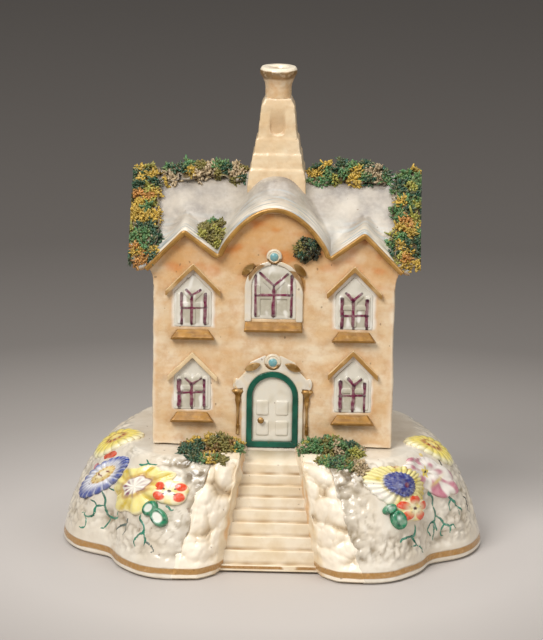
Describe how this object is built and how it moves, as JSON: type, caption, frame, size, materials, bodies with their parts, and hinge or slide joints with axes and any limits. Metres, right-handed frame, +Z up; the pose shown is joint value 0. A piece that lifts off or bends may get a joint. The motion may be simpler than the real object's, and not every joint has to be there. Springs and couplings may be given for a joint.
{
  "type": "pastille burner",
  "caption": "Porcelain pastille burner shaped as a cottage on a mound with steps; the house lifts off a pan where a scented pastille burns and smoke leaves by the chimney.",
  "frame": {"origin": "on the floor under the middle of the foot", "axes": "+Z up, the door and steps face -Y, +X to the right as seen from the front"},
  "size_m": [0.123, 0.0852, 0.1404],
  "materials": {
    "glazed_porcelain_white": "clear lead glaze over white porcelain, faintly pooled",
    "glazed_porcelain_buff": "brushed peach-buff ground colour under clear glaze",
    "glazed_porcelain_cream": "cream glaze, soft edged",
    "gilding": "burnished gold over the glaze, rubbed thin",
    "green_enamel": "glossy overglaze enamel",
    "white_enamel": "white glazed panel with maroon enamel bars",
    "turquoise_enamel": "gilt rosette with a turquoise boss",
    "clay_moss": "shredded clay strands in green, yellow and brown enamels",
    "yellow_enamel": "thin overglaze enamel",
    "blue_enamel": "thin overglaze enamel",
    "orange_enamel": "thin overglaze enamel",
    "pink_enamel": "thin overglaze enamel",
    "leaf_green_enamel": "thin overglaze enamel",
    "charcoal_paste": "pressed charcoal and gum, matt"
  },
  "bodies": {
    "base": {"base_mound": "glazed_porcelain_white", "seat_collar": "glazed_porcelain_white", "stair_flight": "glazed_porcelain_cream", "stair_wall_left": "glazed_porcelain_cream", "stair_wall_right": "glazed_porcelain_cream", "pastille_pan": "glazed_porcelain_white", "bush_left": "clay_moss", "bush_right": "clay_moss", "blossom_yellow_rear_left": "yellow_enamel", "blossom_blue_left": "blue_enamel", "blossom_yellow_left": "yellow_enamel", "blossom_orange_left": "orange_enamel", "leaf_pair_left": "leaf_green_enamel", "blossom_aster_right": "yellow_enamel", "blossom_orange_right": "orange_enamel", "leaf_pair_right": "leaf_green_enamel", "blossom_pink_right": "pink_enamel", "blossom_yellow_rear_right": "yellow_enamel"},
    "pastille": {"pastille_cone": "charcoal_paste"},
    "house": {"roof": "glazed_porcelain_white", "door_surround": "glazed_porcelain_white", "window_surround": "glazed_porcelain_white", "house_walls": "glazed_porcelain_buff", "chimney_stack": "glazed_porcelain_buff", "chimney_pot": "glazed_porcelain_buff", "hood_lower_left": "glazed_porcelain_buff", "hood_lower_right": "glazed_porcelain_buff", "hood_upper_left": "glazed_porcelain_buff", "hood_upper_right": "glazed_porcelain_buff", "bargeboard": "gilding", "door_knob": "gilding", "door_column_left": "gilding", "door_column_right": "gilding", "door_leaves": "gilding", "window_leaves": "gilding", "sill_lower_left": "gilding", "sill_lower_right": "gilding", "sill_upper_left": "gilding", "sill_upper_right": "gilding", "sill_middle": "gilding", "door_frame": "green_enamel", "door_panel": "white_enamel", "window_lower_left": "white_enamel", "window_lower_right": "white_enamel", "window_upper_left": "white_enamel", "window_upper_right": "white_enamel", "window_middle": "white_enamel", "door_rosette": "turquoise_enamel", "window_rosette": "turquoise_enamel", "ridge_moss_left": "clay_moss", "ridge_moss_right": "clay_moss", "verge_moss_left": "clay_moss", "verge_moss_right": "clay_moss", "valley_moss": "clay_moss", "gable_moss": "clay_moss"}
  },
  "joints": [
    {"name": "house_lift", "type": "slide", "parent": "base", "child": "house", "axis": [0, 0, 1], "range_m": [0, 0.08]},
    {"name": "pastille_lift", "type": "slide", "parent": "base", "child": "pastille", "axis": [0, 0, 1], "range_m": [0, 0.03]}
  ]
}
